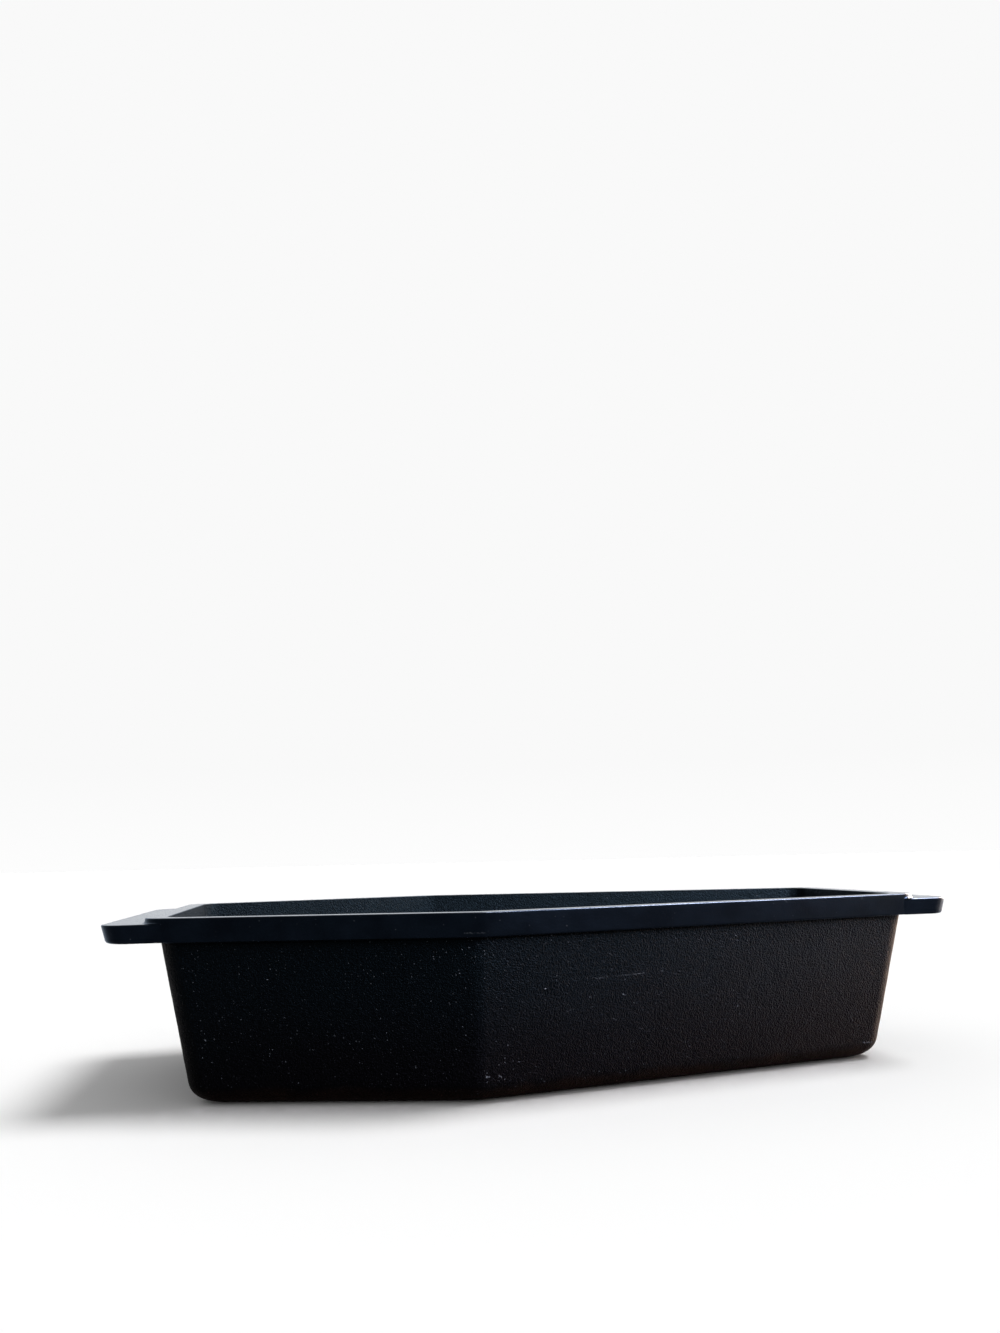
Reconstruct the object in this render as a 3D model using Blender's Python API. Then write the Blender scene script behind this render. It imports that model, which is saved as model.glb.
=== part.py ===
# Cast iron loaf pan with a coffin-shaped plan: it widens from the head end to a shoulder, then tapers to
# the foot end, with a flat grab handle at each end. The real pan is one casting. Here it is divided at its
# natural edges into floor, walls, rim and handles, with a small clearance where they meet.
# Metres, +Z up. The origin is on the base plane, under the middle of the overall length.
# The head end is at -X, the foot end at +X, and left is -Y.

import math

import bmesh
import bpy
from mathutils import Vector

# Plan of the raised rim
head_span = 0.118  # from the shoulder line to the rim's head edge
foot_span = 0.192  # from the shoulder line to the rim's foot edge
head_width = 0.113
shoulder_width = 0.162
foot_width = 0.089
end_corner_radius = 0.009
shoulder_radius = 0.014

# Heights and rim section
pan_height = 0.070
rim_height = 0.0088
rim_edge_radius = 0.0010
rim_mouth_radius = 0.0008
side_lip = 0.0013  # the rim stands this far proud of the long walls
end_lip = 0.0053  # and this far out over the end walls

# Walls and floor
wall_thickness = 0.0056
wall_draft = 0.142  # inward lean for each unit of depth
floor_thickness = 0.0060
base_edge_radius = 0.0095
floor_fillet_radius = 0.0050
inner_corner_radius = 0.0080
floor_seat_width = 0.0010  # flat ledge between the floor's edge and the fillet

# Grab handles, as wide as the rim where its end corners begin
handle_reach = 0.0150  # beyond the raised rim
handle_step = 0.0020  # below the rim's top
handle_corner_radius = 0.0060
handle_end_draft = 0.22
handle_edge_radius = 0.0016
handle_tip_width = 0.0008  # where the horn beside the rim's rounded corner is cut off

clearance = 0.0003  # between neighbours of the casting
corner_steps = 8  # facets round each corner of the plan, an even number
edge_steps = 5  # facets round each rounded edge

iron_metallic = 0.6
crease_angle = math.radians(35)  # facets that meet at less than this are shaded as one surface

rim_base_z = pan_height - rim_height
handle_top_z = pan_height - handle_step
shoulder_x = (head_span - foot_span) / 2
lean = math.atan(wall_draft)
wall_span = wall_thickness / math.cos(lean)  # the wall's thickness measured level

# The plan's sides, anticlockwise from above. Each starts at the corner of the same number.
plan_sides = ("left_flare", "left_taper", "foot", "right_taper", "right_flare", "head")
end_sides = ("foot", "head")
shoulder_corners = (1, 4)


def clear_scene():
    for old in list(bpy.data.objects):
        bpy.data.objects.remove(old, do_unlink=True)


def iron(name, colour, roughness):
    material = bpy.data.materials.new(name)
    material.use_nodes = True
    surface = material.node_tree.nodes["Principled BSDF"]
    surface.inputs["Base Color"].default_value = (*colour, 1.0)
    surface.inputs["Roughness"].default_value = roughness
    surface.inputs["Metallic"].default_value = iron_metallic
    material.diffuse_color = (*colour, 1.0)
    return material


def add_solid(name, mesh_builder, material):
    bmesh.ops.recalc_face_normals(mesh_builder, faces=mesh_builder.faces)
    mesh = bpy.data.meshes.new(name)
    mesh_builder.to_mesh(mesh)
    mesh_builder.free()
    mesh.materials.append(material)
    mesh.shade_smooth()
    mesh.set_sharp_from_angle(angle=crease_angle)
    solid = bpy.data.objects.new(name, mesh)
    bpy.context.collection.objects.link(solid)
    return solid


def rim_corners():
    head_x = shoulder_x - head_span
    foot_x = shoulder_x + foot_span
    half = [head_width / 2, shoulder_width / 2, foot_width / 2]
    near = [Vector((x, -y)) for x, y in zip((head_x, shoulder_x, foot_x), half)]
    far = [Vector((x, y)) for x, y in zip((foot_x, shoulder_x, head_x), reversed(half))]
    return near + far


def outward(start, end):
    # Normal of a side of the plan, away from the pan
    along = (end - start).normalized()
    return Vector((along.y, -along.x))


def inset_corners(side_inset, end_inset):
    # Each side of the rim's plan moves inward by its own inset, and neighbours meet again at the corners.
    rim = rim_corners()
    lines = []
    for side, start, end in zip(plan_sides, rim, rim[1:] + rim[:1]):
        inset = end_inset if side in end_sides else side_inset
        lines.append((start - outward(start, end) * inset, (end - start).normalized()))
    corners = []
    for (before, before_along), (after, after_along) in zip(lines[-1:] + lines[:-1], lines):
        reach = (after - before).cross(after_along) / before_along.cross(after_along)
        corners.append(before + before_along * reach)
    return corners


def arc_centre(corner, before, after, radius):
    # Centre of an arc of this radius that touches both sides at a corner, from the sides' normals
    bisector = (before + after).normalized()
    return corner - bisector * (radius / bisector.dot(before))


def sweep(centre, radius, first, last):
    # Points of an arc between two directions from its centre
    return [centre + first.slerp(last, step / corner_steps) * radius for step in range(corner_steps + 1)]


def rounded_plan(corners, end_radius, turn_radius):
    # The same number of points round every corner, so that plans at different insets join point to point
    points = []
    normals = [outward(start, end) for start, end in zip(corners, corners[1:] + corners[:1])]
    for i, corner in enumerate(corners):
        radius = turn_radius if i in shoulder_corners else end_radius
        centre = arc_centre(corner, normals[i - 1], normals[i], radius)
        points += sweep(centre, radius, normals[i - 1], normals[i])
    return points


def plan_at(inset, inner=False):
    # A level line of the walls, inset from their outer face just under the rim
    corners = inset_corners(side_lip + inset, end_lip + inset)
    if inner:
        return rounded_plan(corners, inner_corner_radius, shoulder_radius)
    return rounded_plan(corners, end_corner_radius, shoulder_radius)


def outer_inset(z):
    return wall_draft * (rim_base_z - z)


def inner_inset(z):
    return outer_inset(z) + wall_span


def arc(centre_inset, centre_z, radius, start, end):
    # Points (inset, z) round a centre, by the angle from straight down towards the outside
    points = []
    for step in range(edge_steps + 1):
        angle = start + (end - start) * step / edge_steps
        points.append((centre_inset - radius * math.sin(angle), centre_z - radius * math.cos(angle)))
    return points


def fillet_centre_inset():
    return inner_inset(floor_thickness + floor_fillet_radius) + floor_fillet_radius / math.cos(lean)


def base_edge_centre_inset():
    return outer_inset(base_edge_radius) + base_edge_radius / math.cos(lean)


def floor_edge_inset():
    return max(fillet_centre_inset(), base_edge_centre_inset()) + floor_seat_width


def wall_section():
    # (inset, z, inner) round the wall's section: down outside, under the base edge, up inside
    upright = math.pi / 2 - lean
    top_z = rim_base_z - clearance
    foot_of_wall = floor_edge_inset()
    outside = [(outer_inset(top_z), top_z)]
    outside += arc(base_edge_centre_inset(), base_edge_radius, base_edge_radius, upright, 0)
    inside = [(foot_of_wall, 0), (foot_of_wall, floor_thickness)]
    fillet_z = floor_thickness + floor_fillet_radius
    inside += arc(fillet_centre_inset(), fillet_z, floor_fillet_radius, 0, upright)
    inside.append((inner_inset(top_z), top_z))
    return [(inset, z, False) for inset, z in outside] + [(inset, z, True) for inset, z in inside]


def join_rings(builder, rings, closed):
    # rings[i][j]: the section's point j at station i. Quads join each ring to the next.
    verts = [[builder.verts.new(point) for point in ring] for ring in rings]
    pairs = list(zip(verts, verts[1:] + (verts[:1] if closed else [])))
    for ring, following in pairs:
        for j in range(len(ring)):
            k = (j + 1) % len(ring)
            builder.faces.new((ring[j], ring[k], following[k], following[j]))
    if not closed:
        builder.faces.new(verts[0])
        builder.faces.new(reversed(verts[-1]))


def make_wall(side_index, material):
    # One side of the plan, from the middle of the corner before it to the middle of the corner after it
    per_corner = corner_steps + 1
    middle = corner_steps // 2
    first = side_index * per_corner + middle
    stations = [(first + step) % (per_corner * len(plan_sides)) for step in range(per_corner + 1)]
    section = wall_section()
    plans = [plan_at(inset, inner) for inset, z, inner in section]
    rings = []
    for station in stations:
        rings.append([Vector((*plan[station], z)) for plan, (inset, z, inner) in zip(plans, section)])
    # Both ends draw back by half the clearance, square to the mitre at the corner.
    for ring, station, sense in ((rings[0], stations[0], 1), (rings[-1], stations[-1], -1)):
        outer_plan = plans[0]
        along = outer_plan[(station + 1) % len(outer_plan)] - outer_plan[station - 1]
        back = Vector((*along.normalized(), 0)) * (sense * clearance / 2)
        for j, point in enumerate(ring):
            ring[j] = point + back
    builder = bmesh.new()
    join_rings(builder, rings, closed=False)
    return add_solid(plan_sides[side_index] + "_wall", builder, material)


def make_floor(material):
    outline = plan_at(floor_edge_inset() + clearance, inner=True)
    builder = bmesh.new()
    join_rings(builder, [[(*point, z) for point in outline] for z in (0, floor_thickness)], closed=False)
    return add_solid("floor", builder, material)


def make_rim(material):
    # The outer face is upright, and the mouth carries on the lean of the inner wall.
    levels = [(rounded_plan(rim_corners(), end_corner_radius, shoulder_radius), rim_base_z)]
    for step in range(edge_steps + 1):
        angle = math.pi / 2 * step / edge_steps
        inset = rim_edge_radius * (1 - math.cos(angle))
        drop = rim_edge_radius * (1 - math.sin(angle))
        plan = rounded_plan(inset_corners(inset, inset), end_corner_radius, shoulder_radius)
        levels.append((plan, pan_height - drop))
    for step in range(edge_steps + 1):
        angle = math.pi / 2 * step / edge_steps
        retreat = rim_mouth_radius * (1 - math.sin(angle))
        z = pan_height - rim_mouth_radius * (1 - math.cos(angle))
        levels.append((plan_at(inner_inset(z) - retreat, inner=True), z))
    levels.append((plan_at(inner_inset(rim_base_z), inner=True), rim_base_z))
    stations = range(len(levels[0][0]))
    rings = [[Vector((*plan[station], z)) for plan, z in levels] for station in stations]
    builder = bmesh.new()
    join_rings(builder, rings, closed=True)
    return add_solid("rim", builder, material)


def handle_levels():
    # (inset of the end face, z) from the top down: a drafted face, then a rounded lower edge
    tilt = math.atan(handle_end_draft)
    centre_z = rim_base_z + handle_edge_radius
    centre = handle_end_draft * (handle_top_z - centre_z) + handle_edge_radius / math.cos(tilt)
    return [(0, handle_top_z)] + arc(centre, centre_z, handle_edge_radius, math.pi / 2 - tilt, 0)


def handle_outline(sense, end_inset):
    # Plan of a handle. Its sides run straight out from where the rim's corners begin, and its inner edge
    # follows the end of the rim, with a horn beside each corner. sense is -1 at the head and +1 at the foot.
    corners = rim_corners()
    rim_corner = corners[0] if sense < 0 else corners[2]
    out_along = (rim_corner - corners[1]).normalized()
    side = Vector((out_along.y, -out_along.x)) * sense
    end = Vector((sense, 0))
    near = Vector((0, -1))
    rim_centre = arc_centre(rim_corner, side, end, end_corner_radius)
    half_width = (rim_centre + side * end_corner_radius).dot(near)
    gap_radius = end_corner_radius + clearance
    tip_rise = half_width - handle_tip_width - rim_centre.dot(near)
    tip_angle = math.acos(tip_rise / gap_radius) - near.angle(side)
    inner = sweep(rim_centre, gap_radius, side.slerp(end, tip_angle / side.angle(end)), end)
    horn = Vector((inner[0].x, -half_width))
    outer_corner = Vector((rim_corner.x + sense * (handle_reach - end_inset), -half_width))
    outer_centre = arc_centre(outer_corner, near, end, handle_corner_radius)
    near_half = inner[::-1] + [horn] + sweep(outer_centre, handle_corner_radius, near, end)
    return near_half + [Vector((point.x, -point.y)) for point in reversed(near_half)]


def make_handle(name, sense, material):
    levels = [(handle_outline(sense, end_inset), z) for end_inset, z in handle_levels()]
    builder = bmesh.new()
    join_rings(builder, [[Vector((*point, z)) for point in outline] for outline, z in levels], closed=False)
    return add_solid(name, builder, material)


def main():
    clear_scene()
    cooking = iron("seasoned_floor", (0.021, 0.022, 0.026), 0.62)
    cast = iron("seasoned_wall", (0.024, 0.025, 0.030), 0.58)
    ground = iron("ground_rim", (0.030, 0.031, 0.037), 0.36)
    grip = iron("handle_iron", (0.027, 0.030, 0.033), 0.42)
    make_floor(cooking)
    for side_index in range(len(plan_sides)):
        make_wall(side_index, cast)
    make_rim(ground)
    make_handle("head_handle", -1, grip)
    make_handle("foot_handle", 1, grip)


main()
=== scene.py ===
# Cast iron loaf pan with a coffin-shaped plan: the looks of its floor, six walls, rim and two handles.
# Metres, +Z up. The head end is at -X, the foot end at +X, and the near side is -Y.

import math

import bmesh
import bpy
from mathutils import Matrix, Vector


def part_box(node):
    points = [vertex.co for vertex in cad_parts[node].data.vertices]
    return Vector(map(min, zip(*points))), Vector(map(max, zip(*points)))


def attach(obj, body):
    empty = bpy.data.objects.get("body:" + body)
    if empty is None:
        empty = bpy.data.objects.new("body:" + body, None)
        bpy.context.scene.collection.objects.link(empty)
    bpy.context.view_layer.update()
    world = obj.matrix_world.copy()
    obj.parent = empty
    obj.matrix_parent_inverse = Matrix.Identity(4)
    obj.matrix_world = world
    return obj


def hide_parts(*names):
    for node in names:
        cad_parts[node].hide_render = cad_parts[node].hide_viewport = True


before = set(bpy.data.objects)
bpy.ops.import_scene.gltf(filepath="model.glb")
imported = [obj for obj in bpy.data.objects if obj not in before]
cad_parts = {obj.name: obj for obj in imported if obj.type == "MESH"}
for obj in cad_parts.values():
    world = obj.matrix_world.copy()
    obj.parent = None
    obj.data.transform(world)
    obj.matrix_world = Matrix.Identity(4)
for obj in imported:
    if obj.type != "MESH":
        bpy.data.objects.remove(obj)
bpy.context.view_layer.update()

rimLow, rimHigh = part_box("rim")
headHandleLow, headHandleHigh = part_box("head_handle")
print("frame loaded:", len(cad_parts), "nodes")

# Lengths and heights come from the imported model
rimTop = rimHigh.z
rimBase = rimLow.z
handleTop = headHandleHigh.z
handleReach = rimLow.x - headHandleLow.x
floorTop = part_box("floor")[1].z

# The pan's plan at the rim
plan = {
    "shoulderX": -0.037,
    "headWidth": 0.113,
    "shoulderWidth": 0.162,
    "footWidth": 0.089,
    "endCornerRadius": 0.009,
    "shoulderRadius": 0.014,
    "innerCornerRadius": 0.008,
    "sideLip": 0.0013,  # the rim stands this far proud of the long walls
    "endLip": 0.0053,
    "mouthRun": 0.0021,  # the end walls thin towards the mouth by this much
    "facet": 0.0009,  # spacing of the mesh along the plan
    "cornerSteps": 20,  # an even number
}
planSides = ("leftFlare", "leftTaper", "foot", "rightTaper", "rightFlare", "head")
endSides = ("foot", "head")
shoulderCorners = (1, 4)

# How a station of the plan moves for each unit of the section's value of the same name
stationMoves = ("reach", "inset", "inner", "mouth", "root", "draw")
sectionValues = stationMoves + ("across", "rise", "soft", "hidden", "polish", "wear")


def linear(hexColour):
    # sRGB hex to the linear colour that shaders take
    parts = [int(hexColour[i : i + 2], 16) / 255 for i in (1, 3, 5)]
    return (*[part / 12.92 if part <= 0.04045 else ((part + 0.055) / 1.055) ** 2.4 for part in parts], 1.0)


def addNode(tree, kind, inputs=None, give=None, **settings):
    # Adds a node, sets or links its inputs by name or place, and returns one of its outputs
    node = tree.nodes.new(kind)
    for name, value in settings.items():
        setattr(node, name, value)
    for key, value in (inputs or {}).items():
        usable = [socket for socket in node.inputs if socket.enabled]
        socket = usable[key] if isinstance(key, int) else next(s for s in usable if s.name == key)
        if isinstance(value, bpy.types.NodeSocket):
            tree.links.new(value, socket)
        else:
            socket.default_value = value
    outputs = [socket for socket in node.outputs if socket.enabled and give in (None, socket.name)]
    return outputs[0] if outputs else node


# Plan

def rimCorners():
    half = [plan["headWidth"] / 2, plan["shoulderWidth"] / 2, plan["footWidth"] / 2]
    near = [Vector((x, -y)) for x, y in zip((rimLow.x, plan["shoulderX"], rimHigh.x), half)]
    return near + [Vector((point.x, -point.y)) for point in reversed(near)]


def outward(start, end):
    along = (end - start).normalized()
    return Vector((along.y, -along.x))


def insetCorners(sideInset, endInset):
    corners = rimCorners()
    lines = []
    for side, start, end in zip(planSides, corners, corners[1:] + corners[:1]):
        inset = endInset if side in endSides else sideInset
        lines.append((start - outward(start, end) * inset, (end - start).normalized()))
    moved = []
    for (before, beforeAlong), (after, afterAlong) in zip(lines[-1:] + lines[:-1], lines):
        along = (after - before).cross(afterAlong) / beforeAlong.cross(afterAlong)
        moved.append(before + beforeAlong * along)
    return moved


def station(place, fade=1.0, **moves):
    still = Vector((0, 0))
    return {"place": place, "fade": fade, **{name: moves.get(name, still) for name in stationMoves}}


def mixed(start, end, share):
    return {name: start[name] + (end[name] - start[name]) * share for name in start}


def between(start, end, length, facet):
    # Stations or rows in even steps from start up to, and not with, end
    steps = max(1, round(length / facet))
    return [mixed(start, end, step / steps) for step in range(steps)]


def planStations():
    # Once round the pan, anticlockwise from above. A section's inset and its change of corner radius move
    # a point along a straight line, so each station needs only the direction of that line.
    corners = rimCorners()
    wallCorners = insetCorners(plan["sideLip"], plan["endLip"])
    mitred = insetCorners(plan["sideLip"] + 1, plan["endLip"] + 1)
    opened = insetCorners(plan["sideLip"], plan["endLip"] - plan["mouthRun"])
    normals = [outward(start, end) for start, end in zip(corners, corners[1:] + corners[:1])]
    turns = []
    for i, corner in enumerate(corners):
        before, after = normals[i - 1], normals[i]
        radius = plan["shoulderRadius"] if i in shoulderCorners else plan["endCornerRadius"]
        tighter = 0 if i in shoulderCorners else plan["innerCornerRadius"] - radius
        bisector = (before + after).normalized()
        turn = []
        for step in range(plan["cornerSteps"] + 1):
            swing = before.slerp(after, step / plan["cornerSteps"]) - bisector / bisector.dot(before)
            reach, inset = wallCorners[i] - corner, mitred[i] - wallCorners[i]
            mouth = opened[i] - wallCorners[i]
            moves = {"reach": reach, "inset": inset, "inner": swing * tighter, "mouth": mouth}
            turn.append(station(corner + swing * radius, **moves))
        turns.append(turn)
    stations, middles = [], []
    for turn, following in zip(turns, turns[1:] + turns[:1]):
        middles.append(len(stations) + plan["cornerSteps"] // 2)
        length = (following[0]["place"] - turn[-1]["place"]).length
        stations += turn[:-1] + between(turn[-1], following[0], length, plan["facet"])
    return stations, middles


stations, cornerMiddles = planStations()


def stationsBetween(first, last):
    # Both ends included, on round the plan past its start
    if last <= first:
        last += len(stations)
    return [stations[i % len(stations)] for i in range(first, last + 1)]


# Sections

def row(height, **values):
    # One line of a section. inset is level, inwards from the plan; soft rows shrink where a handle runs out;
    # and the strip from a hidden row to the next lies inside the casting.
    return {"height": height, **{name: 0 for name in sectionValues}, "across": 1, **values}


def fillRows(rows, facet, spans):
    # Divides the runs between rows into facets. spans has the lengths of a whole reach or crossing.
    filled = []
    for start, end in zip(rows, rows[1:]):
        length = math.hypot(end["height"] - start["height"], end["inset"] - start["inset"])
        length += sum(abs(end[name] - start[name]) * span for name, span in spans.items())
        filled += [start] if start["hidden"] else between(start, end, length, facet)
    return filled + rows[-1:]


def arcRows(inset, height, radius, start, end, steps, **values):
    # Degrees from straight down towards the outside, round a centre
    rows = []
    for step in range(steps + 1):
        angle = math.radians(start + (end - start) * step / steps)
        at = {"inset": inset - radius * math.sin(angle), "height": height - radius * math.cos(angle)}
        rows.append(row(**at, **values))
    return rows


rubbedTo = math.radians(60)


def rubbed(tilt):
    # How far a rounded edge is rubbed bare, by its tilt from level: most at half of rubbedTo, none beyond it
    return max(0, math.sin(math.pi * tilt / rubbedTo))


# Walls and floor

wall = {
    "thickness": 0.0056,
    "draft": 0.142,  # inward lean for each unit of depth
    "baseEdgeRadius": 0.0095,
    "floorFilletRadius": 0.005,
    "floorSeat": 0.001,
    "facet": 0.0009,
    "edgeSteps": 16,
}
floor = {"facet": 0.0012}
rim = {
    "edgeRadius": 0.0005,
    "mouthRadius": 0.0004,
    "lowerEdgeRadius": 0.0003,
    "rootRadius": 0.0004,  # fillet where the rim meets the wall
    "rootRun": 0.0001,  # straight wall below the fillet that is the rim's piece
    "facet": 0.0008,
    "edgeSteps": 6,
    "bandPolish": 0.65,  # the band is ground less than the top, which has 1
}
lean = math.atan(wall["draft"])
upright = 90 - math.degrees(lean)
wallTop = rimBase - rim["rootRadius"] - rim["rootRun"]


def outerInset(height):
    return wall["draft"] * (rimBase - height)


def innerInset(height):
    return outerInset(height) + wall["thickness"] / math.cos(lean)


filletHeight = floorTop + wall["floorFilletRadius"]


def mouthShare(height):
    return (height - filletHeight) / (rimTop - filletHeight)


filletInset = innerInset(filletHeight) + wall["floorFilletRadius"] / math.cos(lean)
baseEdgeInset = outerInset(wall["baseEdgeRadius"]) + wall["baseEdgeRadius"] / math.cos(lean)
floorInset = max(filletInset, baseEdgeInset) + wall["floorSeat"]


def wallSection():
    # Down the outside, under the base edge, up the inside and closed across the top
    radius, steps = wall["baseEdgeRadius"], wall["edgeSteps"]
    rows = [row(wallTop, reach=1, inset=outerInset(wallTop))]
    rows += arcRows(baseEdgeInset, radius, radius, upright, 0, steps, reach=1)
    rows.append(row(0, reach=1, inset=floorInset, inner=1, hidden=1))
    rows.append(row(floorTop, reach=1, inset=floorInset, inner=1))
    fillet = wall["floorFilletRadius"]
    rows += arcRows(filletInset, filletHeight, fillet, 0, upright, steps // 2, reach=1, inner=1)
    at = {"inset": innerInset(wallTop), "mouth": mouthShare(wallTop)}
    rows.append(row(wallTop, reach=1, inner=1, hidden=1, **at))
    return fillRows(rows + rows[:1], wall["facet"], {})


def floorSection():
    # Across the pan over the floor, and back underneath
    edge = {"reach": 1, "inset": floorInset, "inner": 1}
    rows = [row(floorTop, across=-1, **edge), row(floorTop, hidden=1, **edge)]
    rows += [row(0, **edge), row(0, across=-1, hidden=1, **edge)]
    return fillRows(rows + rows[:1], floor["facet"], {"across": plan["headWidth"] / 2})


# Rim

def rimSection():
    # Up the inside to the mouth, over the ground top, down the band and under it to the wall
    steps, edge, mouth = rim["edgeSteps"], rim["edgeRadius"], rim["mouthRadius"]
    lower, root = rim["lowerEdgeRadius"], rim["rootRadius"]
    rows = [row(wallTop, reach=1, inset=innerInset(wallTop), inner=1, mouth=mouthShare(wallTop))]
    for step in range(steps + 1):
        angle = math.pi / 2 * (1 - step / steps)
        height = rimTop - mouth * (1 - math.cos(angle))
        inset = innerInset(height) - mouth * (1 - math.sin(angle))
        share = step / steps
        at = {"inset": inset, "inner": 1 - share, "mouth": mouthShare(height)}
        rows.append(row(height, reach=1, polish=share, **at))
    for step in range(steps + 1):
        angle = math.pi / 2 * step / steps
        polish = 1 - (1 - rim["bandPolish"]) * step / steps
        at = {"inset": edge * (1 - math.sin(angle)), "polish": polish, "wear": rubbed(angle)}
        rows.append(row(rimTop - edge * (1 - math.cos(angle)), **at))
    for step in range(steps + 1):
        angle = math.pi / 2 * step / steps
        inset = lower * (1 - math.cos(angle))
        rows.append(row(rimBase + lower * (1 - math.sin(angle)), inset=inset, polish=rim["bandPolish"]))
    for step in range(steps + 1):
        angle = math.pi / 2 * step / steps
        height = rimBase - root * (1 - math.cos(angle))
        rows.append(row(height, reach=1, inset=outerInset(height) - root * (1 - math.sin(angle))))
    rows.append(row(wallTop, reach=1, inset=outerInset(wallTop), hidden=1))
    return fillRows(rows + rows[:1], rim["facet"], {"reach": plan["endLip"]})


# Handles

handle = {
    "cornerRadius": 0.008,
    "endDraft": 0.22,
    "endEdgeRadius": 0.0016,
    "topEdgeRadius": 0.0005,
    "rootRadius": 0.0012,  # fillet at the foot of the raised rim
    "rootPolish": 0.6,
    "turnShare": 0.1,  # of the run beside the rim, over which the outline turns from the wall to X
    "softShare": 0.9,  # of its edges' radii, the reach at which the handle has them whole
    "facet": 0.0007,
    "edgeSteps": 7,
    "cornerSteps": 40,
    "arcSteps": 12,
}


def handleOutline(corner, start, side, end):
    # Points and normals from the long wall straight out along X, and round the handle's corner to its end
    near = Vector((0, -1))
    radius, steps = handle["cornerRadius"], handle["arcSteps"]
    centre = Vector((corner.x, start.y)) + end * handleReach - (near + end) * radius
    outline = [(start, side), (start + (centre + near * radius - start) * handle["turnShare"], near)]
    for step in range(steps + 1):
        normal = near.slerp(end, step / steps)
        outline.append((centre + normal * radius, normal))
    return outline


def evenly(outline, steps):
    # The same line in even steps
    lengths = [0]
    for (before, _), (after, _) in zip(outline, outline[1:]):
        lengths.append(lengths[-1] + (after - before).length)
    even = []
    for step in range(steps + 1):
        length = lengths[-1] * step / steps
        i = max(k for k in range(len(lengths) - 1) if lengths[k] <= length)
        share = (length - lengths[i]) / (lengths[i + 1] - lengths[i])
        (before, normal), (after, following) = outline[i : i + 2]
        even.append((before.lerp(after, share), normal.lerp(following, share).normalized()))
    return even


def handleStations(sense):
    # Along the end of the rim from one side to the other, each with the point of the handle's outline that
    # it reaches to. Beside the rim's rounded corner the handle runs out to nothing. sense is the end's sign.
    corners = rimCorners()
    corner = corners[0] if sense < 0 else corners[2]
    along = (corner - corners[1]).normalized()
    side = Vector((along.y, -along.x)) * sense
    end = Vector((sense, 0))
    bisector = (side + end).normalized()
    rimRadius, steps = plan["endCornerRadius"], handle["cornerSteps"]
    rimCentre = corner - bisector * (rimRadius / bisector.dot(side))
    outline = evenly(handleOutline(corner, rimCentre + side * rimRadius, side, end), steps)
    full = (handle["rootRadius"] + handle["topEdgeRadius"]) * handle["softShare"]
    straight = handleReach - handle["cornerRadius"]
    near = []
    for step, (outer, normal) in enumerate(outline):
        rimNormal = side.slerp(end, step / steps)
        place = rimCentre + rimNormal * rimRadius
        draw = -end * min(1, max(0, (outer - corner).dot(end) / straight))
        fade = min(1, max(0, (outer - rimCentre).length - rimRadius) / full)
        near.append(station(place, fade, reach=outer - place, inset=-normal, root=rimNormal, draw=draw))
    last = near.pop()
    onAxis = {key: Vector((last[key].x, 0)) for key in ("place", "reach")}
    middle = {**last, **onAxis, "draw": -end}
    near += between(last, middle, -last["place"].y, plan["facet"])
    far = [{key: Vector((v.x, -v.y)) if isinstance(v, Vector) else v for key, v in s.items()} for s in near]
    # Both handles run the same way round as the other pieces, anticlockwise
    return (near + [middle] + far[::-1])[:: int(sense)]


def handleSection():
    # From the foot of the raised rim over the top, down the drafted end and back underneath
    root, edge, lower = handle["rootRadius"], handle["topEdgeRadius"], rim["lowerEdgeRadius"]
    steps, endEdge, draft = handle["edgeSteps"], handle["endEdgeRadius"], handle["endDraft"]
    rows = []
    for step in range(steps + 1):
        angle = math.pi / 2 * step / steps
        # The fillet keeps its height where the handle runs out
        height = handleTop + root * (1 - math.sin(angle))
        polish = 1 - (1 - handle["rootPolish"]) * math.cos(angle)
        rows.append(row(height, root=root * (1 - math.cos(angle)), soft=1, polish=polish))
    for step in range(steps + 1):
        angle = math.pi / 2 * step / steps
        at = {"inset": edge * (1 - math.sin(angle)), "rise": -edge * (1 - math.cos(angle))}
        polish = 1 - (1 - rim["bandPolish"]) * step / steps
        rows.append(row(handleTop, reach=1, soft=1, polish=polish, wear=rubbed(angle), **at))
    tilt = math.degrees(math.atan(draft))
    arcHeight = rimBase + endEdge
    arcDraw = draft * (handleTop - arcHeight) + endEdge / math.cos(math.radians(tilt))
    for drawn in arcRows(arcDraw, arcHeight, endEdge, 90 - tilt, 0, 2 * steps):
        height, draw = drawn["height"], drawn["inset"]
        below = max(0, rimBase + lower - height)
        inset = lower - math.sqrt(lower**2 - below**2) if below < lower else lower
        rows.append(row(height, reach=1, inset=inset, draw=draw, polish=rim["bandPolish"]))
    rows.append(row(rimBase, root=-lower, hidden=1, polish=rim["bandPolish"]))
    return fillRows(rows + rows[:1], handle["facet"], {"reach": handleReach})


# Casting

# Unevenness that the sand mould leaves in the surface itself. Depths are from crest to trough.
moulding = {
    "Ripple Width": 0.021,
    "Ripple Depth": 0.00020,
    "Lump Width": 0.0030,
    "Lump Depth": 0.00008,
    "Pit Spacing": 0.0085,
    "Pit Radius": 0.0011,
    "Pit Depth": 0.00016,
    "Ground Share": 0.08,  # of all that unevenness, what grinding leaves
    "Seed": 4.0,
}
mergeDistance = 0.000002
sharpAngle = math.radians(50)
noiseLow, noiseHigh = 0.2, 0.8  # nearly all of a noise's values lie between these


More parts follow.
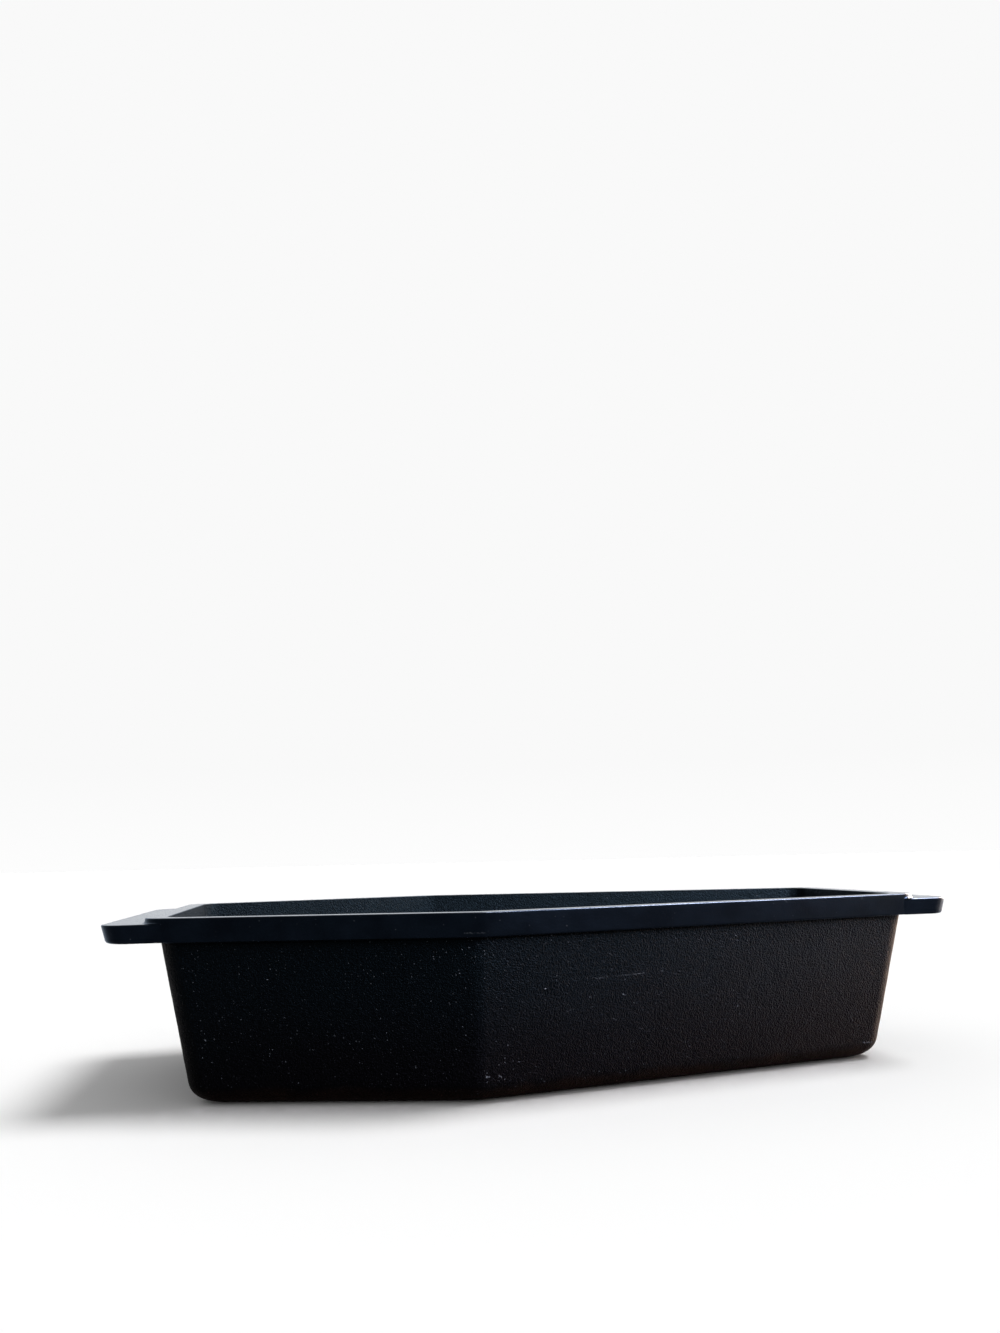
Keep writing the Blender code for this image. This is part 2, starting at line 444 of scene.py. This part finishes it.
def sectionOnPlan():
    # Geometry nodes that sweep a section round a plan, close it, and press the mould's unevenness into it.
    tree = bpy.data.node_groups.new("sectionOnPlan", "GeometryNodeTree")
    kinds = {"Plan": "Object", "Section": "Object", "Iron": "Material"}
    kinds.update({name: "Float" for name in moulding})
    for name, kind in kinds.items():
        tree.interface.new_socket(name, in_out="INPUT", socket_type="NodeSocket" + kind)
    tree.interface.new_socket("Casting", in_out="OUTPUT", socket_type="NodeSocketGeometry")
    given = tree.nodes.new("NodeGroupInput").outputs

    planPoints = addNode(tree, "GeometryNodeObjectInfo", {"Object": given["Plan"]}, "Geometry")
    sectionPoints = addNode(tree, "GeometryNodeObjectInfo", {"Object": given["Section"]}, "Geometry")
    columns = addNode(tree, "GeometryNodeAttributeDomainSize", {0: planPoints}, "Point Count")
    rows = addNode(tree, "GeometryNodeAttributeDomainSize", {0: sectionPoints}, "Point Count")
    sheet = addNode(tree, "GeometryNodeMeshGrid", {"Vertices X": columns, "Vertices Y": rows}, "Mesh")
    index = addNode(tree, "GeometryNodeInputIndex")
    column = addNode(tree, "FunctionNodeIntegerMath", {0: index, 1: rows}, operation="DIVIDE_FLOOR")
    line = addNode(tree, "FunctionNodeIntegerMath", {0: index, 1: rows}, operation="MODULO")

    # Each corner of the sheet looks up its station and its line of the section, and each face its strip
    strips = addNode(tree, "ShaderNodeMath", {0: rows, 1: 1.0}, operation="SUBTRACT")
    strip = addNode(tree, "FunctionNodeIntegerMath", {0: index, 1: strips}, operation="MODULO")
    fields = {}
    for source, points, at, kind, names in (
        ("plan", planPoints, column, "FLOAT_VECTOR", ("place", *stationMoves)),
        ("plan", planPoints, column, "FLOAT", ("fade",)),
        ("section", sectionPoints, line, "FLOAT", ("height", *sectionValues)),
        ("strip", sectionPoints, strip, "FLOAT", ("hidden",)),
    ):
        for name in names:
            stored = addNode(tree, "GeometryNodeInputNamedAttribute", {"Name": name}, data_type=kind)
            fields[source, name] = addNode(tree, "GeometryNodeSampleIndex", {0: points, 1: stored, 2: at},
                                           data_type=kind)

    soft, fade = fields["section", "soft"], fields["plan", "fade"]
    shrink = addNode(tree, "ShaderNodeMix", {"Factor": soft, "A": 1.0, "B": fade}, data_type="FLOAT")
    place = fields["plan", "place"]
    for name in stationMoves:
        amount = fields["section", name]
        if name in ("inset", "root"):
            amount = addNode(tree, "ShaderNodeMath", {0: amount, 1: shrink}, operation="MULTIPLY")
        move = addNode(tree, "ShaderNodeVectorMath", {0: fields["plan", name], "Scale": amount},
                       operation="SCALE")
        place = addNode(tree, "ShaderNodeVectorMath", {0: place, 1: move}, operation="ADD")
    rise, height = fields["section", "rise"], fields["section", "height"]
    height = addNode(tree, "ShaderNodeMath", {0: rise, 1: shrink, 2: height}, operation="MULTIPLY_ADD")
    level = addNode(tree, "ShaderNodeCombineXYZ", {"Z": height})
    squeeze = addNode(tree, "ShaderNodeCombineXYZ", {"X": 1.0, "Y": fields["section", "across"], "Z": 1.0})
    place = addNode(tree, "ShaderNodeVectorMath", {0: place, 1: squeeze, 2: level}, operation="MULTIPLY_ADD")
    mesh = addNode(tree, "GeometryNodeSetPosition", {"Geometry": sheet, "Position": place})

    # The strips inside the casting are marked, so that they don't turn the surface's normals
    kept = {"inside": (fields["strip", "hidden"], "FACE")}
    kept.update({name: (fields["section", name], "POINT") for name in ("polish", "wear", "inner")})
    for name, (value, domain) in kept.items():
        stored = {"Geometry": mesh, "Name": name, "Value": value}
        mesh = addNode(tree, "GeometryNodeStoreNamedAttribute", stored, data_type="FLOAT", domain=domain)
    mesh = addNode(tree, "GeometryNodeMergeByDistance", {"Geometry": mesh, "Distance": mergeDistance})
    isInside = addNode(tree, "GeometryNodeInputNamedAttribute", {"Name": "inside"}, data_type="FLOAT")
    shown = addNode(tree, "GeometryNodeDeleteGeometry", {"Geometry": mesh, "Selection": isInside},
                    mode="ONLY_FACE", domain="FACE")
    normal = addNode(tree, "GeometryNodeInputNormal")
    normal = addNode(tree, "GeometryNodeSampleIndex", {0: shown, 1: normal, 2: index},
                     data_type="FLOAT_VECTOR")

    # Long ripples of the sand, lumps of a few grains, and scattered pits where grains broke away. All of them
    # go along the sheet's normal, into the iron, so that the piece keeps inside its box.
    place = addNode(tree, "GeometryNodeInputPosition")
    offset = addNode(tree, "ShaderNodeCombineXYZ", {axis: given["Seed"] for axis in "XYZ"})
    place = addNode(tree, "ShaderNodeVectorMath", {0: place, 1: offset}, operation="ADD")
    heights = []
    for name, detail in (("Ripple", 2.0), ("Lump", 1.0)):
        scale = addNode(tree, "ShaderNodeMath", {0: 1.0, 1: given[name + " Width"]}, operation="DIVIDE")
        wave = addNode(tree, "ShaderNodeTexNoise", {"Vector": place, "Scale": scale, "Detail": detail}, "Fac")
        wave = addNode(tree, "ShaderNodeMapRange", {"Value": wave, "From Min": noiseLow,
                       "From Max": noiseHigh, "To Min": 1.0, "To Max": 0.0})
        depth = given[name + " Depth"]
        heights.append(addNode(tree, "ShaderNodeMath", {0: wave, 1: depth}, operation="MULTIPLY"))
    scale = addNode(tree, "ShaderNodeMath", {0: 1.0, 1: given["Pit Spacing"]}, operation="DIVIDE")
    apart = addNode(tree, "ShaderNodeTexVoronoi", {"Vector": place, "Scale": scale}, "Distance")
    apart = addNode(tree, "ShaderNodeMath", {0: apart, 1: given["Pit Spacing"]}, operation="MULTIPLY")
    pit = addNode(tree, "ShaderNodeMapRange", {"Value": apart, "From Min": 0.0,
                  "From Max": given["Pit Radius"], "To Min": 1.0, "To Max": 0.0},
                  interpolation_type="SMOOTHSTEP")
    heights.append(addNode(tree, "ShaderNodeMath", {0: pit, 1: given["Pit Depth"]}, operation="MULTIPLY"))
    total = addNode(tree, "ShaderNodeMath", {0: heights[0], 1: heights[1]}, operation="ADD")
    total = addNode(tree, "ShaderNodeMath", {0: total, 1: heights[2]}, operation="ADD")
    polish = addNode(tree, "GeometryNodeInputNamedAttribute", {"Name": "polish"}, data_type="FLOAT")
    rough = addNode(tree, "ShaderNodeMapRange", {"Value": polish, "To Min": 1.0,
                    "To Max": given["Ground Share"]})
    total = addNode(tree, "ShaderNodeMath", {0: total, 1: rough}, operation="MULTIPLY")
    push = addNode(tree, "ShaderNodeVectorMath", {0: normal, "Scale": total}, operation="SCALE")
    mesh = addNode(tree, "GeometryNodeSetPosition", {"Geometry": mesh, "Offset": push})
    mesh = addNode(tree, "GeometryNodeRealizeInstances", {"Geometry": mesh})
    mesh = addNode(tree, "GeometryNodeSetMaterial", {"Geometry": mesh, "Material": given["Iron"]})
    addNode(tree, "NodeGroupOutput", {0: mesh})
    return tree


def guide(name, points, attributes):
    # A mesh of loose points that carries the plan's or the section's values to the geometry nodes
    mesh = bpy.data.meshes.new(name)
    mesh.from_pydata([(0, 0, 0)] * len(points), [], [])
    for key in attributes:
        values = [point[key] for point in points]
        if isinstance(values[0], Vector):
            mesh.attributes.new(key, "FLOAT_VECTOR", "POINT").data.foreach_set(
                "vector", [part for value in values for part in (*value, 0)])
        else:
            mesh.attributes.new(key, "FLOAT", "POINT").data.foreach_set("value", values)
    holder = bpy.data.objects.new(name, mesh)
    bpy.context.scene.collection.objects.link(holder)
    return holder


def castPiece(name, along, section, iron, node):
    guides = [guide("planGuide", along, ("place", "fade", *stationMoves)),
              guide("sectionGuide", section, ("height", *sectionValues))]
    piece = bpy.data.objects.new(name, bpy.data.meshes.new(name))
    bpy.context.scene.collection.objects.link(piece)
    modifier = piece.modifiers.new("casting", "NODES")
    modifier.node_group = castingTree
    items = castingTree.interface.items_tree
    sockets = {item.name: item.identifier for item in items if item.in_out == "INPUT"}
    for key, value in {"Plan": guides[0], "Section": guides[1], "Iron": iron, **moulding}.items():
        modifier[sockets[key]] = value
    dependencies = bpy.context.evaluated_depsgraph_get()
    mesh = bpy.data.meshes.new_from_object(piece.evaluated_get(dependencies), depsgraph=dependencies)
    piece.modifiers.remove(modifier)
    mesh.name = name
    piece.data = mesh
    for holder in guides:
        bpy.data.meshes.remove(holder.data)
    builder = bmesh.new()
    builder.from_mesh(mesh)
    loose = [vert for vert in builder.verts if not vert.link_faces]
    bmesh.ops.delete(builder, geom=loose, context="VERTS")
    bmesh.ops.holes_fill(builder, edges=[edge for edge in builder.edges if edge.is_boundary])
    bmesh.ops.recalc_face_normals(builder, faces=builder.faces)
    openEdges = sum(not edge.is_manifold for edge in builder.edges)
    builder.to_mesh(mesh)
    builder.free()
    mesh.shade_smooth()
    mesh.set_sharp_from_angle(angle=sharpAngle)
    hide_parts(node)
    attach(piece, "root")
    mesh.calc_loop_triangles()
    print("cast", name, len(mesh.loop_triangles), "triangles,", openEdges, "open edges")
    return piece


# Materials

# Small marks on the near side, each along a line between two places on the surface
wallMarks = (
    {"from": (0.0053, -0.0691, 0.0434), "to": (0.0279, -0.0649, 0.0442), "width": 0.0005, "bared": 0.08},
    {"from": (0.0093, -0.0683, 0.0435), "to": (0.0125, -0.0677, 0.0437), "width": 0.0006, "bared": 0.15},
    {"from": (0.0190, -0.0655, 0.0368), "to": (0.0193, -0.0654, 0.0366), "width": 0.0006, "bared": 0.40},
    {"from": (0.0236, -0.0641, 0.0332), "to": (0.0248, -0.0639, 0.0325), "width": 0.0004, "bared": 0.25},
    {"from": (-0.0343, -0.0718, 0.0103), "to": (-0.0333, -0.0716, 0.0103), "width": 0.0008, "bared": 0.35},
    {"from": (-0.0294, -0.0708, 0.0098), "to": (-0.0288, -0.0707, 0.0098), "width": 0.0007, "bared": 0.28},
    {"from": (0.1318, -0.0398, 0.0076), "to": (0.1366, -0.0388, 0.0072), "width": 0.0009, "bared": 0.14},
    {"from": (-0.1342, -0.0543, 0.0254), "to": (-0.1340, -0.0543, 0.0252), "width": 0.0007, "bared": 0.40},
)
rimMarks = (
    {"from": (-0.0423, -0.0799, 0.0628), "to": (-0.0353, -0.0807, 0.0627), "width": 0.0006, "bared": 0.12},
    {"from": (0.0888, -0.0571, 0.0699), "to": (0.0898, -0.0569, 0.0685), "width": 0.0006, "bared": 0.12},
    {"from": (0.1261, -0.0500, 0.0694), "to": (0.1261, -0.0500, 0.0685), "width": 0.0006, "bared": 0.12},
)

# The part of its noise's values that each change of tone runs over
noiseSpans = {
    "tips": {"From Min": 0.35, "From Max": 0.75},
    "clouds": {"From Min": 0.35, "From Max": 0.65},
    "rubbing": {"From Min": 0.4, "From Max": 0.7},
    "wear": {"From Min": 0.35, "From Max": 0.65},
}


def castIron(name, look):
    # Iron with a thin film of burnt-on oil, which leaves it near black: only bright things show in it
    material = bpy.data.materials.new(name)
    material.use_nodes = True
    tree = material.node_tree
    surface = tree.nodes["Principled BSDF"]
    surface.inputs["Metallic"].default_value = look["metallic"]
    surface.inputs["Specular Tint"].default_value = linear(look["grazingTint"])
    place = addNode(tree, "ShaderNodeTexCoord", give="Object")
    height = addNode(tree, "ShaderNodeSeparateXYZ", {"Vector": place}, "Z")
    polish = addNode(tree, "ShaderNodeAttribute", give="Fac", attribute_name="polish")
    wear = addNode(tree, "ShaderNodeAttribute", give="Fac", attribute_name="wear")
    inner = addNode(tree, "ShaderNodeAttribute", give="Fac", attribute_name="inner")
    noises = {}
    for key, detail in (("blotch", 4.0), ("warmReflectionAndRubbing", 3.0), ("grain", 1.0), ("fineGrain", 1.0), ("mark", 2.0)):
        scale = 1 / look[key + "Width"]
        noises[key] = addNode(tree, "ShaderNodeTexNoise", {"Vector": place, "Scale": scale, "Detail": detail})

    # Film: neutral lower down and bluish up the wall, where the blue is a painted sky reflection
    skyTint = addNode(tree, "ShaderNodeMath", {0: noises["blotch"], 1: look["skyTintDrift"], 2: height},
                    operation="MULTIPLY_ADD")
    skyTint = addNode(tree, "ShaderNodeMapRange", {"Value": skyTint, "From Min": look["skyTintLow"],
                    "From Max": look["skyTintHigh"]}, interpolation_type="SMOOTHSTEP")
    colour = addNode(tree, "ShaderNodeMix", {"Factor": skyTint, "A": linear(look["lowFilm"]),
                     "B": linear(look["skyTintedFilm"])}, data_type="RGBA")
    colour = addNode(tree, "ShaderNodeMix", {"Factor": inner, "A": colour, "B": linear(look["innerFilm"])},
                     data_type="RGBA")

    # Painted warm reflection: a brown tint that fades out above the base
    ragged = addNode(tree, "ShaderNodeMath", {0: noises["warmReflectionAndRubbing"], 1: look["warmReflectionHeight"], 2: height},
                     operation="MULTIPLY_ADD")
    warmReflection = addNode(tree, "ShaderNodeMapRange", {"Value": ragged,
                    "From Min": look["warmReflectionHeight"] * look["warmReflectionEnd"],
                    "From Max": look["warmReflectionHeight"] * look["warmReflectionFull"], "To Max": look["warmReflectionAmount"]},
                    interpolation_type="SMOOTHSTEP")
    outside = addNode(tree, "ShaderNodeMath", {0: 1.0, 1: inner}, operation="SUBTRACT")
    warmReflection = addNode(tree, "ShaderNodeMath", {0: warmReflection, 1: outside}, operation="MULTIPLY")
    colour = addNode(tree, "ShaderNodeMix", {"Factor": warmReflection, "A": colour, "B": linear(look["warmReflectionAndRubbing"])},
                     data_type="RGBA")

    # The film is thinner on the tips of the grain than between them, except where it was ground
    cast = addNode(tree, "ShaderNodeMapRange", {"Value": polish, "From Max": look["leastGround"],
                   "To Min": 1.0, "To Max": 0.0})
    tips = addNode(tree, "ShaderNodeMapRange", {"Value": noises["fineGrain"], **noiseSpans["tips"],
                   "To Min": look["hollowTone"], "To Max": look["tipTone"]}, interpolation_type="SMOOTHSTEP")
    cloudy = addNode(tree, "ShaderNodeMapRange", {"Value": noises["warmReflectionAndRubbing"], **noiseSpans["clouds"],
                     "To Min": 1 - look["groundClouds"], "To Max": 1 + look["groundClouds"]})
    tone = addNode(tree, "ShaderNodeMix", {"Factor": cast, "A": cloudy, "B": tips}, data_type="FLOAT")
    colour = addNode(tree, "ShaderNodeVectorMath", {0: colour, "Scale": tone}, operation="SCALE")

    # A painted shade line on the wall just under the lip of the rim
    lipStart = rimBase - look["lipRun"]
    underLipShade = addNode(tree, "ShaderNodeMapRange", {"Value": height, "From Min": lipStart - look["lipFade"],
                       "From Max": lipStart, "To Min": 1.0, "To Max": look["lipShadeTone"]})
    underLipShade = addNode(tree, "ShaderNodeMix", {"Factor": inner, "A": underLipShade, "B": 1.0}, data_type="FLOAT")
    underLipShade = addNode(tree, "ShaderNodeMix", {"Factor": cast, "A": 1.0, "B": underLipShade}, data_type="FLOAT")
    colour = addNode(tree, "ShaderNodeVectorMath", {0: colour, "Scale": underLipShade}, operation="SCALE")

    # Specks where single grains stand through the film, each cell with its own size
    cells = {"Vector": place, "Scale": 1 / look["speckSpacing"]}
    apart = addNode(tree, "ShaderNodeTexVoronoi", cells, "Distance")
    chance = addNode(tree, "ShaderNodeTexVoronoi", cells, "Color")
    chance = addNode(tree, "ShaderNodeSeparateColor", {"Color": chance}, "Red")
    size = addNode(tree, "ShaderNodeMapRange", {"Value": chance, "From Min": 1 - look["speckShare"],
                   "From Max": 1.0, "To Min": 0.0, "To Max": look["speckRadius"] / look["speckSpacing"]})
    speck = addNode(tree, "ShaderNodeMath", {0: apart, 1: size}, operation="LESS_THAN")
    rubbing = addNode(tree, "ShaderNodeMapRange", {"Value": noises["warmReflectionAndRubbing"], **noiseSpans["rubbing"],
                      "To Min": look["speckAmount"] * look["speckLeast"], "To Max": look["speckAmount"]})
    bared = addNode(tree, "ShaderNodeMath", {0: speck, 1: rubbing}, operation="MULTIPLY")

    # Worn edges, in some places more than in others
    worn = addNode(tree, "ShaderNodeMapRange", {"Value": noises["blotch"], **noiseSpans["wear"],
                   "To Min": look["edgeWear"] * look["edgeLeast"], "To Max": look["edgeWear"]})
    worn = addNode(tree, "ShaderNodeMath", {0: wear, 1: worn}, operation="MULTIPLY")
    bared = addNode(tree, "ShaderNodeMath", {0: bared, 1: worn}, operation="MAXIMUM")

    # Marks: the distance to a line, broken up by noise
    for mark in look["marks"]:
        start, end = Vector(mark["from"]), Vector(mark["to"])
        run = end - start
        offset = addNode(tree, "ShaderNodeVectorMath", {0: place, 1: start}, operation="SUBTRACT")
        share = addNode(tree, "ShaderNodeVectorMath", {0: offset, 1: run / run.length_squared}, "Value",
                        operation="DOT_PRODUCT")
        share = addNode(tree, "ShaderNodeClamp", {"Value": share})
        nearest = addNode(tree, "ShaderNodeVectorMath", {0: run, "Scale": share}, operation="SCALE")
        apart = addNode(tree, "ShaderNodeVectorMath", {0: offset, 1: nearest}, "Value", operation="DISTANCE")
        apart = addNode(tree, "ShaderNodeMath", {0: noises["mark"], 1: mark["width"] * look["markBreak"],
                        2: apart}, operation="MULTIPLY_ADD")
        marked = addNode(tree, "ShaderNodeMapRange", {"Value": apart,
                         "From Min": mark["width"] * look["markEnd"],
                         "From Max": mark["width"] * look["markFull"], "To Max": mark["bared"]})
        bared = addNode(tree, "ShaderNodeMath", {0: bared, 1: marked}, operation="MAXIMUM")
    colour = addNode(tree, "ShaderNodeMix", {"Factor": bared, "A": colour, "B": linear(look["bare"])},
                     data_type="RGBA")
    tree.links.new(colour, surface.inputs["Base Color"])

    roughness = addNode(tree, "ShaderNodeMapRange", {"Value": polish, "To Min": look["castRoughness"],
                        "To Max": look["groundRoughness"]})
    tree.links.new(roughness, surface.inputs["Roughness"])

    # Grain of the sand, rubbed down where the rim was ground and coarser inside
    relief = addNode(tree, "ShaderNodeMath", {0: noises["fineGrain"], 1: look["fineGrainShare"],
                     2: noises["grain"]}, operation="MULTIPLY_ADD")
    strength = addNode(tree, "ShaderNodeMath", {0: inner, 1: look["innerGrain"] - 1, 2: 1.0},
                       operation="MULTIPLY_ADD")
    strength = addNode(tree, "ShaderNodeMath", {0: strength, 1: look["grainDepth"]}, operation="MULTIPLY")
    shown = addNode(tree, "ShaderNodeMath", {0: cast, 1: look["groundGrain"]}, operation="MAXIMUM")
    normal = addNode(tree, "ShaderNodeBump", {"Strength": shown, "Distance": strength, "Height": relief})
    tree.links.new(normal, surface.inputs["Normal"])
    return material


# Cast in green sand and left as it came: a fine pebbled grain that breaks every highlight into sparkles
sandCast = {
    "lowFilm": "#030304",
    # painted bluish sky reflection, blended in up the wall
    "skyTintedFilm": "#030507",
    "innerFilm": "#060A0D",
    "grazingTint": "#E4E2E2",
    "skyTintDrift": 0.030,
    "skyTintLow": 0.020,
    "skyTintHigh": 0.070,
    "metallic": 1.0,
    "castRoughness": 0.65,
    "groundRoughness": 0.15,
    "blotchWidth": 0.030,
    # painted warm reflection along the base; its noise also sets the rubbing of specks and the ground faces'
    # clouds
    "warmReflectionAndRubbing": "#180E0A",
    "warmReflectionHeight": 0.007,
    "warmReflectionAndRubbingWidth": 0.012,
    "warmReflectionAmount": 0.85,
    "warmReflectionFull": 0.5,  # it is whole up to this share of its height, before the noise is added
    "warmReflectionEnd": 1.6,
    "hollowTone": 0.75,
    "tipTone": 1.8,
    # painted shade on the wall under the lip of the rim
    "lipRun": 0.0007,
    "lipFade": 0.00035,
    "lipShadeTone": 0.3,
    "bare": "#7A8089",
    "edgeWear": 0.3,
    "edgeLeast": 0.6,  # the share of that wear where an edge is rubbed least
    "speckSpacing": 0.0011,
    "speckRadius": 0.00026,
    "speckShare": 0.5,
    "speckAmount": 0.18,
    "speckLeast": 0.1,  # the share of that amount where a face is rubbed least
    "grainWidth": 0.0009,
    "grainDepth": 0.0003,
    "fineGrainWidth": 0.00045,  # the real grain is near 0.3 mm, which would not show
    "fineGrainShare": 1.1,
    "innerGrain": 1.3,
    "groundGrain": 0.1,
    "groundClouds": 0.25,
    "leastGround": 0.2,  # from this polish up, none of the cast skin is left
    "markWidth": 0.0008,
    "markBreak": 1.6,  # how much noise breaks up a mark, and where it is whole and ends, in its widths
    "markFull": 0.7,
    "markEnd": 1.3,
    "marks": wallMarks,
}
# The rim and handles: fettled and ground, so smooth enough for a soft sheen, with grey iron at the edges that
# hands rub. The blue of their film and of their grazing tint is a painted sky reflection
fettledCast = {
    **sandCast,
    "lowFilm": "#080A0F",
    "skyTintedFilm": "#070B11",
    # blue grazing tint: painted sky reflection
    "grazingTint": "#E8F2FF",
    "speckShare": 0.1,
    "marks": rimMarks,
}
castingTree = sectionOnPlan()
iron = castIron("seasonedSandCastIron", sandCast)
rubbedIron = castIron("seasonedGroundCastIron", fettledCast)
print("materials made")

wallRows = wallSection()
wallNodes = ("left_flare_wall", "left_taper_wall", "foot_wall",
             "right_taper_wall", "right_flare_wall", "head_wall")
for i, (side, node) in enumerate(zip(planSides, wallNodes)):
    ends = cornerMiddles[i], cornerMiddles[(i + 1) % len(cornerMiddles)]
    castPiece(side + "Wall", stationsBetween(*ends), wallRows, iron, node)

cornerHalf = plan["cornerSteps"] // 2
leftChain = stationsBetween(cornerMiddles[0] - cornerHalf, cornerMiddles[2] + cornerHalf)
castPiece("floor", leftChain, floorSection(), iron, "floor")
seam = (cornerMiddles[3] + cornerMiddles[4]) // 2  # the rim's ring closes in the middle of a straight side
castPiece("rim", stationsBetween(seam, seam), rimSection(), rubbedIron, "rim")
handleRows = handleSection()
castPiece("headHandle", handleStations(-1), handleRows, rubbedIron, "head_handle")
castPiece("footHandle", handleStations(1), handleRows, rubbedIron, "foot_handle")

# Camera, fitted to the photograph. Pixels are of a 1000 by 1333 frame.

view = {
    "frame": (1000, 1333),
    "place": (-0.08738, -0.39323, 0.08881),
    "yaw": 0.1502,  # to the right of +Y
    "roll": -0.02275,  # level lines rise to the right
    "focal": 909.4,
    "sensor": 36,  # millimetres along the frame's longer side
    "nearest": 0.01,  # nothing nearer than this is drawn
    "centre": (469.8, 858.3),  # where the lens looks
}


def addCamera():
    camera = bpy.data.objects.new("camera", bpy.data.cameras.new("camera"))
    width, height = view["frame"]
    camera.data.sensor_width = view["sensor"]
    camera.data.lens = view["focal"] * camera.data.sensor_width / height
    camera.data.shift_x = (width / 2 - view["centre"][0]) / height
    camera.data.shift_y = (view["centre"][1] - height / 2) / height
    ahead = Vector((math.sin(view["yaw"]), math.cos(view["yaw"]), 0))
    level, up = ahead.cross((0, 0, 1)), Vector((0, 0, 1))
    right = level * math.cos(view["roll"]) + up * math.sin(view["roll"])
    upward = up * math.cos(view["roll"]) - level * math.sin(view["roll"])
    turned = Matrix((right, upward, -ahead)).transposed().to_4x4()
    camera.matrix_world = Matrix.Translation(view["place"]) @ turned
    camera.data.clip_start = view["nearest"]
    bpy.context.scene.collection.objects.link(camera)
    bpy.context.scene.camera = camera


addCamera()

# Studio

studio = {
    "floorSize": 40.0,
    "floorColour": "#FCFCFC",
    "ambient": 0.45,
    "horizon": "#FDFDFD",
    "backdrop": "#F9F9F9",
    "backdropRise": 0.1,  # how far above the horizon the backdrop reaches its own colour
}
# The key lights everything from above and the right. The two panels show only as reflections in the iron.
lamps = {
    "key": {"kind": "SUN", "direction": (0.43, 0.045, 0.90), "colour": "#FFFFFF", "energy": 2.1,
            "spread": 26},
    "side": {"kind": "AREA", "direction": (0.627, -0.439, 0.643), "colour": "#F2EEF8", "energy": 77.0,
             "size": 0.48, "distance": 0.8},
    "edge": {"kind": "AREA", "direction": (0.93, 0.25, 0.27), "colour": "#FFD8BC", "energy": 150.0,
             "size": 1.2, "distance": 1.5},
}


def addStudio():
    mesh = bpy.data.meshes.new("floorPaper")
    half = studio["floorSize"] / 2
    corners = [(-half, -half, 0), (half, -half, 0), (half, half, 0), (-half, half, 0)]
    mesh.from_pydata(corners, [], [(0, 1, 2, 3)])
    paper = bpy.data.objects.new("floorPaper", mesh)
    bpy.context.scene.collection.objects.link(paper)
    matte = bpy.data.materials.new("mattePaper")
    matte.use_nodes = True
    surface = matte.node_tree.nodes["Principled BSDF"]
    surface.inputs["Base Color"].default_value = linear(studio["floorColour"])
    surface.inputs["Roughness"].default_value = 1.0
    surface.inputs["Specular IOR Level"].default_value = 0.0
    mesh.materials.append(matte)

    world = bpy.data.worlds.new("studio")
    bpy.context.scene.world = world
    world.use_nodes = True
    tree = world.node_tree
    tree.nodes.clear()
    path = tree.nodes.new("ShaderNodeLightPath").outputs
    seen = addNode(tree, "ShaderNodeMath", {0: path["Is Camera Ray"], 1: path["Is Glossy Ray"]},
                   operation="MAXIMUM")
    seen = addNode(tree, "ShaderNodeMath", {0: seen, 1: path["Is Transmission Ray"]}, operation="MAXIMUM")
    heading = addNode(tree, "ShaderNodeTexCoord", give="Generated")
    height = addNode(tree, "ShaderNodeSeparateXYZ", {"Vector": heading}, "Z")
    height = addNode(tree, "ShaderNodeMapRange", {"Value": height, "From Max": studio["backdropRise"]})
    colour = addNode(tree, "ShaderNodeMix", {"Factor": height, "A": linear(studio["horizon"]),
                     "B": linear(studio["backdrop"])}, data_type="RGBA")
    backdrop = addNode(tree, "ShaderNodeBackground", {"Color": colour, "Strength": 1.0})
    ambient = addNode(tree, "ShaderNodeBackground", {"Color": linear("#FFFFFF"),
                      "Strength": studio["ambient"]})
    light = addNode(tree, "ShaderNodeMixShader", {0: seen, 1: ambient, 2: backdrop})
    addNode(tree, "ShaderNodeOutputWorld", {"Surface": light})

    for name, lamp in lamps.items():
        data = bpy.data.lights.new(name, lamp["kind"])
        data.energy = lamp["energy"]
        data.color = linear(lamp["colour"])[:3]
        direction = Vector(lamp["direction"]).normalized()
        holder = bpy.data.objects.new(name, data)
        if lamp["kind"] == "SUN":
            data.angle = math.radians(lamp["spread"])
        else:
            data.shape = "DISK"
            data.size = lamp["size"]
            holder.visible_diffuse = False
        holder.matrix_world = (Matrix.Translation(direction * lamp.get("distance", 1))
                               @ direction.to_track_quat("Z", "Y").to_matrix().to_4x4())
        bpy.context.scene.collection.objects.link(holder)


addStudio()
bpy.context.scene.view_settings.view_transform = "Standard"
print("studio ready")
